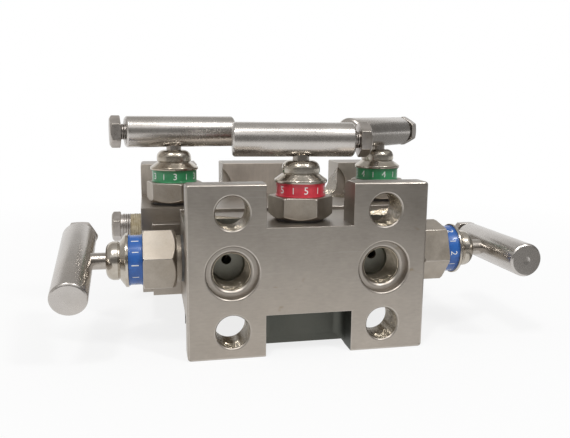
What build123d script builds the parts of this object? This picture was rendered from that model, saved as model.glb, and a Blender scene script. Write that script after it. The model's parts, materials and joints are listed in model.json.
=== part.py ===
"""Five-valve instrument manifold for direct mounting between a differential pressure
transmitter and an orifice tap pair: one machined block with a flange at each end, two
isolate valves on its sides, two equalize valves and one vent valve on its top.

Frame: +X to the right, +Y from the transmitter flange towards the process flange, +Z up.
The origin is the centre of the transmitter flange's face. Lengths are in millimetres.
"""
from build123d import *
from dataclasses import dataclass
from math import cos, radians, sin, sqrt
import os

# Bolting and port pattern shared by both flanges.
PORT_SPACING = 54.0
BOLT_SPACING_Z = 41.3
BOLT_HOLE_R = 5.8
PORT_R = 6.2
PORT_DEPTH = 15.0
PORT_RECESS_R = 9.1
PORT_RECESS_DEPTH = 2.6
PORT_FUNNEL = 1.2
PORT_FLOOR_CHAMFER = 0.6
RIM_CHAMFER = 0.5

# The block.
FRONT_WIDTH = 85.0
FLANGE_HEIGHT = 60.8
FRONT_THICKNESS = 12.7
NOTCH_WIDTH = 30.8
POCKET_DEPTH = 12.2
POCKET_CORNER_R = 3.5
DECK_Z = 15.4
POCKET_CEILING_Z = -15.4
REAR_DECK_RISE = 1.2
BELLY_Z = -17.0
RIB_WIDTH = 34.0
STEP_Y = 37.0
WIDE_START_Y = 42.0
WIDE_WIDTH = 114.4
PAD_WIDTH = 106.4
PAD_TOP_Z = 11.0
REAR_FACE_Y = 79.0
REAR_THICKNESS = 17.0
REAR_FOOT_WIDTH = 78.0
SLOT_WIDTH = 11.6
SPOT_R = 9.4
FRONT_SPOT_LENGTH = 8.0
REAR_SPOT_DEPTH = 1.2
CORNER_R = 1.2
LUG_BACK_R = 5.0
ROOT_R = 4.0
EDGE_CHAMFER = 0.5

# Where the five valves stand.
ISOLATE_Y = 20.0
ISOLATE_Z = 1.5
VENT_Y = 16.5
EQUALIZE_INSET = 13.6
EQUALIZE_Y = 56.5

# One valve, measured outwards along its axis from the face of the block.
HEX_FLATS = 20.4
HEX_BASE_CHAMFER = 2.2
HEX_TOP_CHAMFER = 0.7
HEX_CHAMFER_SLOPE = 0.7
TOP_HEX_LENGTH = 8.0
SIDE_HEX_LENGTH = 11.6
SIDE_COLLAR_LENGTH = 1.8
SEAL_HEIGHT = 0.8
SHANK_R = 7.0
SHANK_LENGTH = 8.0
SEAL_R = 8.4
RING_R = 9.1
RING_WALL = 1.1
RING_HEIGHT = 4.9
COLLAR_R = 9.6
COLLAR_RIM = 1.0
COLLAR_HEIGHT = 3.2
DOME_R = 6.9
DOME_NECK_R = 6.5
DOME_HEIGHT = 4.6
DOME_LIP = 0.9
STEM_R = 3.0
STEM_RUNNING_CLEARANCE = 0.08
PACKING_R = 5.0
PACKING_HEIGHT = 5.0
GLAND_REACH = 1.8
FIT_CLEARANCE = 0.05
TIP_R = 2.8
TIP_LENGTH = 7.3
TIP_POINT_R = 0.6
SPIGOT_R = 1.4
SPIGOT_HEIGHT = 1.8
SEAT_R = 2.0
SEAT_GAP = 0.12
SEAT_LENGTH = 3.4
CHAMBER_R = 4.2
STEM_FOOT_DEPTH = 9.0
TIP_HEADROOM = 1.0
STEM_PITCH = 1.27
TURNS = 2.5

# The T-bar handle.
BAR_R = 6.15
BAR_PLAIN_REACH = 24.6
BAR_BOLT_REACH = 19.0
BAR_CHAMFER = 0.7
BAR_ABOVE_DOME = 7.4
STEM_PAST_CENTRE = 3.4
CENTRE_MARK_R = 1.6
CENTRE_MARK_DEPTH = 0.35
BOLT_R = 2.9
BOLT_GAP = 2.0
BOLT_FLATS = 11.1
BOLT_HEAD = 4.1
BOLT_BACK_CHAMFER = 0.4
BOLT_FACE_CHAMFER = 1.2

# The pipe plug in the test port, on the left side of the block.
PLUG_Y = 68.5
PLUG_Z = 5.0
PLUG_THREAD_R = 5.1
PLUG_ENGAGED = 7.0
PLUG_TAPE_LENGTH = 4.6
PLUG_TAPE_WALL = 0.25
PLUG_BARE_LENGTH = 4.0
PLUG_FLATS = 11.1
PLUG_HEAD = 3.7

# Drilled passages.
PASSAGE_R = 1.8
CROSS_DRILL_R = 1.4
PROCESS_WAY_INSET = 4.4
PROCESS_WAY_Z = -1.5
CHAMBER_WAY_LEVEL = 15.1
LOW_GALLERY_Z = -10.0
DRILL_OVERRUN = 0.6
OUTLET_Y = 30.0
OUTLET_R = 5.6
OUTLET_DEPTH = 10.0

LIFT = STEM_PITCH * TURNS
BOLT_X = PORT_SPACING / 2
BOLT_Z = BOLT_SPACING_Z / 2
HALF_FRONT = FRONT_WIDTH / 2
HALF_WIDE = WIDE_WIDTH / 2
EQUALIZE_X = HALF_WIDE - EQUALIZE_INSET
HALF_HEIGHT = FLANGE_HEIGHT / 2
HALF_NOTCH = NOTCH_WIDTH / 2
BACK_Y = REAR_FACE_Y + REAR_THICKNESS
REAR_DECK_Z = DECK_Z + REAR_DECK_RISE
TIP_CONE = TIP_R - SEAT_R
SEAT_DEPTH = STEM_FOOT_DEPTH + FIT_CLEARANCE + TIP_LENGTH + TIP_CONE + SEAT_GAP


@dataclass
class Valve:
    """Where a valve stands on the block and how its handle is turned."""
    name: str
    base: tuple
    outward: tuple
    bolt_end: tuple
    hex_phase: float
    collar_length: float
    hex_length: float
    opened: float

    def plane(self, lift=0.0):
        """The valve's own frame: its axis is +Z and the handle's bolt end is +X."""
        out = Vector(*self.outward)
        return Plane(origin=Vector(*self.base) + out * lift, x_dir=self.bolt_end, z_dir=out)

    @property
    def hex_low(self):
        """Height of the hexagon's foot, above the seal and any plain collar."""
        return SEAL_HEIGHT + self.collar_length

    @property
    def ring_low(self):
        """Height of the top of the hexagon, where the label ring sits."""
        return self.hex_low + self.hex_length

    @property
    def ring_high(self):
        """Height of the bonnet's top face, which the gland nut closes."""
        return self.ring_low + RING_HEIGHT

    @property
    def dome_top(self):
        """Height of the top of the gland nut."""
        return self.ring_high + COLLAR_HEIGHT + DOME_HEIGHT

    @property
    def bar_height(self):
        """Height of the handle's centre line when the valve is closed."""
        return self.dome_top + BAR_ABOVE_DOME


def turned(angle_deg):
    """A direction in the deck's plane, counted from +X towards +Y."""
    return (cos(radians(angle_deg)), sin(radians(angle_deg)), 0)


def tilted(angle_deg):
    """A direction in the side's plane, counted from +Y towards +Z."""
    return (0, cos(radians(angle_deg)), sin(radians(angle_deg)))


TOP = dict(outward=(0, 0, 1), collar_length=0.0, hex_length=TOP_HEX_LENGTH, opened=0.0)
SIDE = dict(collar_length=SIDE_COLLAR_LENGTH, hex_length=SIDE_HEX_LENGTH, opened=LIFT)
VALVES = [
    Valve("vent", (0, VENT_Y, DECK_Z), bolt_end=turned(-3), hex_phase=50, **TOP),
    Valve("left_equalize", (-EQUALIZE_X, EQUALIZE_Y, REAR_DECK_Z), bolt_end=turned(186),
          hex_phase=35, **TOP),
    Valve("right_equalize", (EQUALIZE_X, EQUALIZE_Y, REAR_DECK_Z), bolt_end=turned(40),
          hex_phase=20, **TOP),
    Valve("left_isolate", (-HALF_FRONT, ISOLATE_Y, ISOLATE_Z), (-1, 0, 0), tilted(11),
          hex_phase=23, **SIDE),
    Valve("right_isolate", (HALF_FRONT, ISOLATE_Y, ISOLATE_Z), (1, 0, 0), tilted(0),
          hex_phase=10, **SIDE),
]


def rod(radius, start, direction, length):
    """A cylinder that starts at a point and runs along a direction."""
    return extrude(Plane(origin=start, z_dir=direction) * Circle(radius), length)


def tube(outer, inner, low, high):
    """A ring about +Z between two heights."""
    ring = Circle(outer) - Circle(inner)
    return extrude(Plane.XY.offset(low) * ring, high - low)


def spun(points):
    """A solid of revolution about +Z from a closed (radius, height) outline."""
    outline = make_face(Polyline(*points, close=True))
    return revolve(Plane.XZ * outline, Axis.Z)


def hexagon(flats, low, high, phase, chamfer_low, chamfer_high):
    """A hexagon bar about +Z whose corners are turned off at its ends."""
    corner = flats / sqrt(3)
    bar = extrude(Plane.XY.offset(low) * RegularPolygon(corner, 6, rotation=phase), high - low)
    turned_blank = spun([
        (0, low), (corner - chamfer_low, low),
        (corner, low + chamfer_low * HEX_CHAMFER_SLOPE),
        (corner, high - chamfer_high * HEX_CHAMFER_SLOPE), (corner - chamfer_high, high),
        (0, high),
    ])
    return bar & turned_blank


def block_box(half_x, y0, y1, z0, z1):
    """A box about the block's middle plane."""
    return Pos(0, (y0 + y1) / 2, (z0 + z1) / 2) * Box(2 * half_x, y1 - y0, z1 - z0)


def flange_plate(width, front_y, thickness):
    """A full-height rectangular plate that faces along Y."""
    outline = Rectangle(width, FLANGE_HEIGHT)
    outline = fillet(outline.vertices(), CORNER_R)
    return extrude(Plane.XZ.offset(-front_y) * outline, -thickness)


def front_flange():
    """The transmitter flange: open notch above, milled pocket below."""
    plate = flange_plate(FRONT_WIDTH, 0, FRONT_THICKNESS)
    corners = plate.edges().filter_by(Axis.Z).group_by(Axis.Y)[-1]
    plate = fillet(corners, LUG_BACK_R)
    plate = chamfer(plate.faces().sort_by(Axis.Y)[0].edges(), EDGE_CHAMFER)
    plate += block_box(HALF_FRONT, FRONT_THICKNESS - LUG_BACK_R, FRONT_THICKNESS, BELLY_Z, DECK_Z)
    return plate - block_box(HALF_NOTCH, 0, FRONT_THICKNESS, DECK_Z, HALF_HEIGHT)


def bottom_pocket():
    """The pocket milled up from below between the lower lugs, with round inner corners."""
    reach = POCKET_CORNER_R
    plan = Pos(0, (POCKET_DEPTH - reach) / 2) * Rectangle(NOTCH_WIDTH, POCKET_DEPTH + reach)
    plan = fillet(plan.vertices().group_by(Axis.Y)[-1], POCKET_CORNER_R)
    return extrude(Plane.XY.offset(-HALF_HEIGHT) * plan, HALF_HEIGHT + POCKET_CEILING_Z)


def rear_flange():
    """The process flange: full width above the belly, narrower foot below it."""
    plate = flange_plate(WIDE_WIDTH, REAR_FACE_Y, REAR_THICKNESS)
    plate = chamfer(plate.faces().sort_by(Axis.Y)[-1].edges(), EDGE_CHAMFER)
    foot_side = (WIDE_WIDTH - REAR_FOOT_WIDTH) / 2
    for side in (-1, 1):
        centre = (side * (HALF_WIDE - foot_side / 2), REAR_FACE_Y + REAR_THICKNESS / 2,
                  (BELLY_Z - HALF_HEIGHT) / 2)
        plate -= Pos(*centre) * Box(foot_side, REAR_THICKNESS, HALF_HEIGHT + BELLY_Z)
    return plate


def root_fillet(width, y, toward):
    """The round root between the belly and the back of a flange."""
    square = Pos(toward * ROOT_R / 2, -ROOT_R / 2) * Rectangle(ROOT_R, ROOT_R)
    profile = square - Pos(toward * ROOT_R, -ROOT_R) * Circle(ROOT_R)
    section = Plane(origin=(-width / 2, y, BELLY_Z), x_dir=(0, 1, 0), z_dir=(1, 0, 0))
    return extrude(section * profile, width)


def slot_cut(x):
    """The U-slot that lets an upper process bolt drop in from above."""
    reach = HALF_HEIGHT - BOLT_Z
    throat = Pos(x, BOLT_Z + reach / 2) * Rectangle(SLOT_WIDTH, reach)
    outline = throat + Pos(x, BOLT_Z) * Circle(SLOT_WIDTH / 2)
    return extrude(Plane.XZ.offset(-REAR_FACE_Y) * outline, -REAR_THICKNESS)


def rim_cone(radius, plane, depth):
    """A chamfer cut for the mouth of a round hole."""
    return plane * Pos(0, 0, depth / 2) * Cone(radius + depth, radius, depth)


def bolt_hole(x, z, front_y, length):
    """A smooth through hole for a flange bolt, chamfered at both ends."""
    hole = rod(BOLT_HOLE_R, (x, front_y, z), (0, 1, 0), length)
    near = Plane(origin=(x, front_y, z), z_dir=(0, 1, 0))
    far = Plane(origin=(x, front_y + length, z), z_dir=(0, -1, 0))
    return hole + rim_cone(BOLT_HOLE_R, near, RIM_CHAMFER) + rim_cone(BOLT_HOLE_R, far, RIM_CHAMFER)


def port_cut(x, face_y, inward):
    """A female port with the shallow recess that holds its flange seal ring."""
    way = (0, inward, 0)
    mouth = Plane(origin=(x, face_y, 0), z_dir=way)
    wall = PORT_DEPTH - PORT_FLOOR_CHAMFER
    bore = rod(PORT_R, (x, face_y, 0), way, wall)
    floor = rim_cone(PORT_R - PORT_FLOOR_CHAMFER, mouth.offset(wall), PORT_FLOOR_CHAMFER)
    recess = rod(PORT_RECESS_R, (x, face_y, 0), way, PORT_RECESS_DEPTH)
    funnel = rim_cone(PORT_R, mouth.offset(PORT_RECESS_DEPTH), PORT_FUNNEL)
    return bore + floor + recess + funnel + rim_cone(PORT_RECESS_R, mouth, RIM_CHAMFER)


def valve_cavity(valve):
    """The tapped bore, needle chamber and seat that a valve is screwed into."""
    down = (0, 0, -1)
    bore = rod(SHANK_R + FIT_CLEARANCE, (0, 0, 0), down, SHANK_LENGTH + FIT_CLEARANCE)
    chamber = rod(CHAMBER_R, (0, 0, 0), down, SEAT_DEPTH)
    seat = rod(SEAT_R, (0, 0, 0), down, SEAT_DEPTH + SEAT_LENGTH)
    return valve.plane() * (bore + chamber + seat)


def passages():
    """The drilled ways between the ports, the valve chambers, the seats and the outlet."""
    ways = []
    level = HALF_FRONT - CHAMBER_WAY_LEVEL
    equalize_level = REAR_DECK_Z - CHAMBER_WAY_LEVEL
    process_x = BOLT_X - PROCESS_WAY_INSET
    drill_end = PASSAGE_R + DRILL_OVERRUN
    equalize_foot = REAR_DECK_Z - SEAT_DEPTH
    for side in (-1, 1):
        ways.append(rod(PASSAGE_R, (side * process_x, BACK_Y - PORT_DEPTH, PROCESS_WAY_Z),
                        (0, -1, 0), BACK_Y - PORT_DEPTH - ISOLATE_Y + drill_end))
        ways.append(rod(PASSAGE_R, (side * level, PORT_DEPTH, ISOLATE_Z), (0, 1, 0),
                        EQUALIZE_Y - PORT_DEPTH + drill_end))
        ways.append(rod(CROSS_DRILL_R, (side * level, EQUALIZE_Y, equalize_level), (side, 0, 0),
                        EQUALIZE_X - level))
        ways.append(rod(SEAT_R, (side * EQUALIZE_X, EQUALIZE_Y, equalize_foot), (0, 0, -1),
                        equalize_foot - LOW_GALLERY_Z + drill_end))
    ways.append(rod(PASSAGE_R, (-EQUALIZE_X, EQUALIZE_Y, LOW_GALLERY_Z), (1, 0, 0),
                    2 * EQUALIZE_X))
    vent_level = DECK_Z - CHAMBER_WAY_LEVEL
    ways.append(rod(CROSS_DRILL_R, (0, EQUALIZE_Y, LOW_GALLERY_Z), (0, 0, 1),
                    vent_level - LOW_GALLERY_Z + drill_end))
    ways.append(rod(PASSAGE_R, (0, EQUALIZE_Y, vent_level), (0, -1, 0), EQUALIZE_Y - VENT_Y))
    vent_foot = DECK_Z - SEAT_DEPTH
    ways.append(rod(SEAT_R, (0, VENT_Y, vent_foot), (0, 0, -1),
                    vent_foot - LOW_GALLERY_Z + drill_end))
    ways.append(rod(PASSAGE_R, (0, VENT_Y, LOW_GALLERY_Z), (0, 1, 0),
                    OUTLET_Y - VENT_Y + drill_end))
    ways.append(rod(CROSS_DRILL_R, (0, OUTLET_Y, LOW_GALLERY_Z), (0, 0, -1),
                    HALF_HEIGHT + LOW_GALLERY_Z))
    return ways


def outlet_port():
    """The tapped vent outlet in the bottom of the rib."""
    mouth = Plane(origin=(0, OUTLET_Y, -HALF_HEIGHT), z_dir=(0, 0, 1))
    return rod(OUTLET_R, (0, OUTLET_Y, -HALF_HEIGHT), (0, 0, 1), OUTLET_DEPTH) + rim_cone(
        OUTLET_R, mouth, RIM_CHAMFER)


def manifold_body():
    """The block with everything that is cut into it."""
    block = front_flange() + rear_flange()
    block += block_box(HALF_FRONT, FRONT_THICKNESS, STEP_Y, BELLY_Z, DECK_Z)
    block += block_box(HALF_FRONT, STEP_Y, WIDE_START_Y, BELLY_Z, REAR_DECK_Z)
    block += block_box(PAD_WIDTH / 2, STEP_Y, WIDE_START_Y, BELLY_Z, PAD_TOP_Z)
    block += block_box(HALF_WIDE, WIDE_START_Y, REAR_FACE_Y, BELLY_Z, REAR_DECK_Z)
    block += block_box(RIB_WIDTH / 2, FRONT_THICKNESS, REAR_FACE_Y, -HALF_HEIGHT, BELLY_Z)
    block += root_fillet(FRONT_WIDTH, FRONT_THICKNESS, 1)
    block += root_fillet(REAR_FOOT_WIDTH, REAR_FACE_Y, -1)
    block -= bottom_pocket()
    for side in (-1, 1):
        x = side * BOLT_X
        for z in (-BOLT_Z, BOLT_Z):
            block -= bolt_hole(x, z, 0, FRONT_THICKNESS)
            block -= rod(SPOT_R, (x, FRONT_THICKNESS, z), (0, 1, 0), FRONT_SPOT_LENGTH)
            block -= rod(SPOT_R, (x, REAR_FACE_Y + REAR_SPOT_DEPTH, z), (0, -1, 0),
                         REAR_SPOT_DEPTH + FRONT_SPOT_LENGTH)
        block -= bolt_hole(x, -BOLT_Z, REAR_FACE_Y, REAR_THICKNESS)
        block -= slot_cut(x)
        block -= port_cut(x, 0, 1)
        block -= port_cut(x, BACK_Y, -1)
    for valve in VALVES:
        block -= valve_cavity(valve)
    block -= rod(PLUG_THREAD_R + FIT_CLEARANCE, (-HALF_WIDE, PLUG_Y, PLUG_Z), (1, 0, 0),
                 PLUG_ENGAGED + FIT_CLEARANCE)
    block -= outlet_port()
    for way in passages():
        block -= way
    return block


def bonnet(valve):
    """Hexagon bonnet: threaded shank below, plain neck above for the label ring."""
    neck_r = RING_R - RING_WALL - FIT_CLEARANCE
    top = valve.ring_high
    body = hexagon(HEX_FLATS, valve.hex_low, valve.ring_low, valve.hex_phase,
                   HEX_BASE_CHAMFER, HEX_TOP_CHAMFER)
    if valve.collar_length:
        body += rod(SEAL_R, (0, 0, SEAL_HEIGHT), (0, 0, 1), valve.collar_length)
    body += rod(SHANK_R, (0, 0, -SHANK_LENGTH), (0, 0, 1), SHANK_LENGTH + SEAL_HEIGHT)
    body += rod(neck_r, (0, 0, valve.ring_low), (0, 0, 1), RING_HEIGHT)
    body -= rod(STEM_R + STEM_RUNNING_CLEARANCE, (0, 0, -SHANK_LENGTH), (0, 0, 1),
                SHANK_LENGTH + top)
    body -= rod(CHAMBER_R, (0, 0, -SHANK_LENGTH), (0, 0, 1),
                SHANK_LENGTH - STEM_FOOT_DEPTH + LIFT + TIP_HEADROOM)
    return body - rod(PACKING_R, (0, 0, top), (0, 0, -1), PACKING_HEIGHT + GLAND_REACH)


def bonnet_seal(_valve):
    """Ring that seals the bonnet against the block."""
    return tube(SEAL_R, SHANK_R + FIT_CLEARANCE, 0, SEAL_HEIGHT)


def label_ring(valve):
    """Coloured sleeve that tells what the valve does."""
    return tube(RING_R, RING_R - RING_WALL, valve.ring_low, valve.ring_high)


def packing(valve):
    """Stem packing under the gland."""
    top = valve.ring_high - GLAND_REACH
    return tube(PACKING_R - FIT_CLEARANCE, STEM_R + STEM_RUNNING_CLEARANCE,
                top - PACKING_HEIGHT, top)


def gland_nut(valve):
    """Domed gland nut: a coned collar over the ring and a rounded dome round the stem."""
    low = valve.ring_high
    collar_top = low + COLLAR_HEIGHT
    high = valve.dome_top
    bore = STEM_R + STEM_RUNNING_CLEARANCE
    nose_r = PACKING_R - FIT_CLEARANCE
    lip_r = bore + DOME_LIP
    dome_edge = high - (DOME_R - lip_r)
    outline = Polyline(
        (bore, high), (bore, low - GLAND_REACH), (nose_r, low - GLAND_REACH), (nose_r, low),
        (COLLAR_R, low), (COLLAR_R, low + COLLAR_RIM), (DOME_NECK_R, collar_top),
        (DOME_R, collar_top + DOME_R - DOME_NECK_R), (DOME_R, dome_edge))
    crown = RadiusArc((DOME_R, dome_edge), (lip_r, high), -(DOME_R - lip_r))
    rim = Line((lip_r, high), (bore, high))
    return revolve(Plane.XZ * make_face(outline + crown + rim), Axis.Z)


def stem(valve):
    """Threaded stem, with a socket in its foot that the free-turning tip hangs in."""
    high = valve.bar_height + STEM_PAST_CENTRE
    shaft = rod(STEM_R, (0, 0, -STEM_FOOT_DEPTH), (0, 0, 1), STEM_FOOT_DEPTH + high)
    return shaft - rod(SPIGOT_R + FIT_CLEARANCE, (0, 0, -STEM_FOOT_DEPTH), (0, 0, 1),
                       SPIGOT_HEIGHT + FIT_CLEARANCE)


def needle_tip(valve):
    """Needle tip: it moves with the stem but doesn't turn on the seat."""
    top = -STEM_FOOT_DEPTH - FIT_CLEARANCE
    low = top - TIP_LENGTH
    point = low - (TIP_R - TIP_POINT_R)
    return spun([
        (0, top + SPIGOT_HEIGHT), (SPIGOT_R, top + SPIGOT_HEIGHT), (SPIGOT_R, top),
        (TIP_R, top), (TIP_R, low), (TIP_POINT_R, point), (0, point),
    ])


def handle_bar(valve):
    """Round T-bar with a cross hole for the stem and a tapped hole for its clamping bolt."""
    height = valve.bar_height
    bar = rod(BAR_R, (-BAR_PLAIN_REACH, 0, height), (1, 0, 0), BAR_PLAIN_REACH + BAR_BOLT_REACH)
    bar = chamfer(bar.edges().filter_by(GeomType.CIRCLE), BAR_CHAMFER)
    bar -= rod(STEM_R + FIT_CLEARANCE, (0, 0, height - BAR_R), (0, 0, 1),
               BAR_R + STEM_PAST_CENTRE + FIT_CLEARANCE)
    bar -= rod(BOLT_R + FIT_CLEARANCE, (0, 0, height), (1, 0, 0), BAR_BOLT_REACH)
    return bar - rod(CENTRE_MARK_R, (-BAR_PLAIN_REACH, 0, height), (1, 0, 0), CENTRE_MARK_DEPTH)


def lock_bolt(valve):
    """Hexagon-head bolt that clamps the stem in the bar."""
    height = valve.bar_height
    start = STEM_R + FIT_CLEARANCE
    head_start = BAR_BOLT_REACH + BOLT_GAP
    shank = rod(BOLT_R, (start, 0, height), (1, 0, 0), head_start - start)
    along_bar = Plane(origin=(head_start, 0, height), x_dir=(0, 0, 1), z_dir=(1, 0, 0))
    return shank + along_bar * hexagon(BOLT_FLATS, 0, BOLT_HEAD, 0, BOLT_BACK_CHAMFER,
                                       BOLT_FACE_CHAMFER)


def plug_parts():
    """The test port's hexagon-head pipe plug and the sealing tape wound on its thread."""
    plane = Plane(origin=(-HALF_WIDE, PLUG_Y, PLUG_Z), x_dir=(0, 0, 1), z_dir=(-1, 0, 0))
    head_low = PLUG_TAPE_LENGTH + PLUG_BARE_LENGTH
    plug = rod(PLUG_THREAD_R, (0, 0, -PLUG_ENGAGED), (0, 0, 1), PLUG_ENGAGED + head_low)
    plug += hexagon(PLUG_FLATS, head_low, head_low + PLUG_HEAD, 0, BOLT_BACK_CHAMFER,
                    BOLT_FACE_CHAMFER)
    tape = tube(PLUG_THREAD_R + PLUG_TAPE_WALL, PLUG_THREAD_R, 0, PLUG_TAPE_LENGTH)
    return plane * plug, plane * tape


def main():
    """Builds every piece and writes one STEP file for each."""
    os.makedirs("parts", exist_ok=True)
    pieces = {"manifold_body": manifold_body()}
    for valve in VALVES:
        fixed = valve.plane()
        moving = valve.plane(valve.opened)
        for make in (bonnet, bonnet_seal, label_ring, packing, gland_nut):
            pieces[f"{valve.name}_{make.__name__}"] = fixed * make(valve)
        for make in (stem, needle_tip, handle_bar, lock_bolt):
            pieces[f"{valve.name}_{make.__name__}"] = moving * make(valve)
    pieces["test_port_plug"], pieces["thread_tape"] = plug_parts()
    for name, piece in pieces.items():
        export_step(piece, f"parts/{name}.step")


main()
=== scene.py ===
import json
import logging
import math
from dataclasses import dataclass, field
from enum import Enum
from typing import Any, ClassVar, Sequence

import bmesh
import bpy
from bmesh.types import BMVert, BMesh
from bpy.types import ID, Material, Mesh, Node, NodeSocket, NodeTree, Object, World
from mathutils import Matrix, Vector, noise
from mathutils.bvhtree import BVHTree


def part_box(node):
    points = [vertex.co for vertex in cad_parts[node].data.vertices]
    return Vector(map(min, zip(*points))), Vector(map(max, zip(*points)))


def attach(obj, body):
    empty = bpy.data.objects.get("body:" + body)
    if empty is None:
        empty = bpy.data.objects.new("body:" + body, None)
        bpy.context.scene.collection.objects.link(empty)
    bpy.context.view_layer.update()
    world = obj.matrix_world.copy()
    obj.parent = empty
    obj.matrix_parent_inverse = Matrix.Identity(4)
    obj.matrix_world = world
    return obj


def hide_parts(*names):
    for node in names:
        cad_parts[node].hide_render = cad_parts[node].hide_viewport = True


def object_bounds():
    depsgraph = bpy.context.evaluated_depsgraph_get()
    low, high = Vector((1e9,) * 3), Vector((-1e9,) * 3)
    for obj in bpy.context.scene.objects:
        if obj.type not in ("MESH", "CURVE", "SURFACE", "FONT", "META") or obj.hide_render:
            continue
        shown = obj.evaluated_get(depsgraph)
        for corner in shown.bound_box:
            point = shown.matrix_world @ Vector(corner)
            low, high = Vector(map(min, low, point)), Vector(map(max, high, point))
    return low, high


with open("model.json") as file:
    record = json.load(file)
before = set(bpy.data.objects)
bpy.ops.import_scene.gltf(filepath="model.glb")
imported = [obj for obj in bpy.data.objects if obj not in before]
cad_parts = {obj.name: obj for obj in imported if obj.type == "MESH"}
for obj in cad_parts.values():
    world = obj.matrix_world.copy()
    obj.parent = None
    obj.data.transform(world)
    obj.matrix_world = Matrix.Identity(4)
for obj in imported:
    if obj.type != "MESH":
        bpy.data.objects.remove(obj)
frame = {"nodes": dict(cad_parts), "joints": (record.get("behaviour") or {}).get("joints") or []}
CAD_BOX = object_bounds()

log = logging.getLogger("manifold")

MM = 0.001
"""One millimetre in the scene's metres."""

SMOOTH_ANGLE = math.radians(32)
"""Edges that turn more than this stay sharp."""

WELD = 1e-7
"""Vertices of a turned piece nearer than this are one."""

CAD_WELD = 1e-6
"""Vertices of a CAD node nearer than this are one."""

CORNER_SHARE = 0.45
"""Largest share of a side that a rounded corner takes."""

Point2 = tuple[float, float]
Point3 = tuple[float, float, float]
Colour = tuple[float, float, float]

WHITE = (1.0, 1.0, 1.0)


# ---------------------------------------------------------------------------
# Node trees
# ---------------------------------------------------------------------------


@dataclass(frozen=True)
class Pattern:
    """A noise pattern on Object coordinates.

    Attributes:
        size: how fine it is, in repeats per metre.
        detail: how many octaves it has.
        roughness: how strong the fine octaves are.
        stretch: its scale along X, Y and Z.
    """

    size: float
    detail: float = 2.0
    roughness: float = 0.55
    stretch: Point3 = (1.0, 1.0, 1.0)


@dataclass
class Graph:
    """A shader or geometry node tree under construction."""

    tree: NodeTree

    def node(self, kind: str, **settings: Any) -> Node:
        """Adds a node.

        Args:
            kind: the node's type name.
            settings: properties to set on it.

        Returns:
            The new node.
        """
        made = self.tree.nodes.new(kind)
        for name, value in settings.items():
            setattr(made, name, value)
        return made

    def link(self, start: NodeSocket, end: NodeSocket) -> None:
        """Joins an output socket to an input socket."""
        self.tree.links.new(start, end)

    def feed(self, socket: NodeSocket, value: Any) -> None:
        """Links a socket to an input, or sets the input's own value.

        Args:
            socket: the input.
            value: a socket, or the value to set.
        """
        if isinstance(value, NodeSocket):
            self.link(value, socket)
        else:
            socket.default_value = value

    def add(self, kind: str, inputs: dict[str | int, Any], **settings: Any) -> NodeSocket:
        """Adds a node and feeds its inputs.

        Args:
            kind: the node's type name.
            inputs: a socket or a value for each input, by its name or number.
            settings: properties to set on the node.

        Returns:
            The node's first output.
        """
        made = self.node(kind, **settings)
        for name, value in inputs.items():
            self.feed(made.inputs[name], value)
        return made.outputs[0]

    def math(self, operation: str, first: Any, second: Any = 0.0) -> NodeSocket:
        """The result of a named operation on two sockets or numbers."""
        return self.add("ShaderNodeMath", {0: first, 1: second}, operation=operation)

    def position(self) -> NodeSocket:
        """The Object coordinates."""
        return self.node("ShaderNodeTexCoord").outputs["Object"]

    def along(self, axis: int) -> NodeSocket:
        """The Object coordinate along one axis.

        Args:
            axis: 0, 1 or 2 for X, Y or Z.

        Returns:
            The coordinate, in metres.
        """
        split = self.node("ShaderNodeSeparateXYZ")
        self.link(self.position(), split.inputs[0])
        return split.outputs[axis]

    def noise(self, pattern: Pattern) -> NodeSocket:
        """Adds a noise pattern.

        Args:
            pattern: the pattern wanted.

        Returns:
            The pattern's value, about 0.5 in the middle.
        """
        place = self.add("ShaderNodeMapping",
                         {"Vector": self.position(), "Scale": pattern.stretch})
        return self.add("ShaderNodeTexNoise", {
            "Vector": place, "Scale": pattern.size, "Detail": pattern.detail,
            "Roughness": pattern.roughness})

    def remap(self, value: NodeSocket, band: Point2, result: Point2 = (0.0, 1.0)) -> NodeSocket:
        """Adds a clamped linear remap.

        Args:
            value: the input.
            band: the inputs that give the two results.
            result: what they give.

        Returns:
            The remapped value.
        """
        return self.add("ShaderNodeMapRange", {
            "Value": value, "From Min": band[0], "From Max": band[1],
            "To Min": result[0], "To Max": result[1]})

    def blend(self, share: Any, first: Any, second: Any, blend_type: str = "MIX") -> NodeSocket:
        """Adds a colour mix.

        Args:
            share: how much of the second colour.
            first: a socket or a colour.
            second: a socket or a colour.
            blend_type: how the two are mixed.

        Returns:
            The mixed colour.
        """
        made = self.node("ShaderNodeMix", data_type="RGBA", blend_type=blend_type)
        self.feed(made.inputs[0], share)
        for index, value in ((6, first), (7, second)):
            if isinstance(value, tuple):
                value = (*value, 1.0)
            self.feed(made.inputs[index], value)
        return made.outputs[2]

    def bump(self, height: NodeSocket, depth: float) -> NodeSocket:
        """Adds a bump.

        Args:
            height: the height, from 0 to 1.
            depth: what 1 stands for, in metres.

        Returns:
            The bumped normal.
        """
        return self.add("ShaderNodeBump", {"Strength": 1.0, "Distance": depth, "Height": height})

    def seen_directly(self) -> NodeSocket:
        """One for a camera, glossy or transmission ray, and zero for any other.

        Returns:
            The value's socket.
        """
        path = self.node("ShaderNodeLightPath")
        seen = self.math("MAXIMUM", path.outputs["Is Camera Ray"], path.outputs["Is Glossy Ray"])
        return self.math("MAXIMUM", seen, path.outputs["Is Transmission Ray"])


def emptied(owner: Material | World,
            output: str = "ShaderNodeOutputMaterial") -> tuple[Graph, NodeSocket]:
    """Empties a node tree down to its output node.

    Args:
        owner: the material or world whose tree it is.
        output: the output node's type name.

    Returns:
        The graph and the surface input of its output node.
    """
    owner.use_nodes = True
    graph = Graph(owner.node_tree)
    graph.tree.nodes.clear()
    return graph, graph.node(output).inputs["Surface"]


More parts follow.
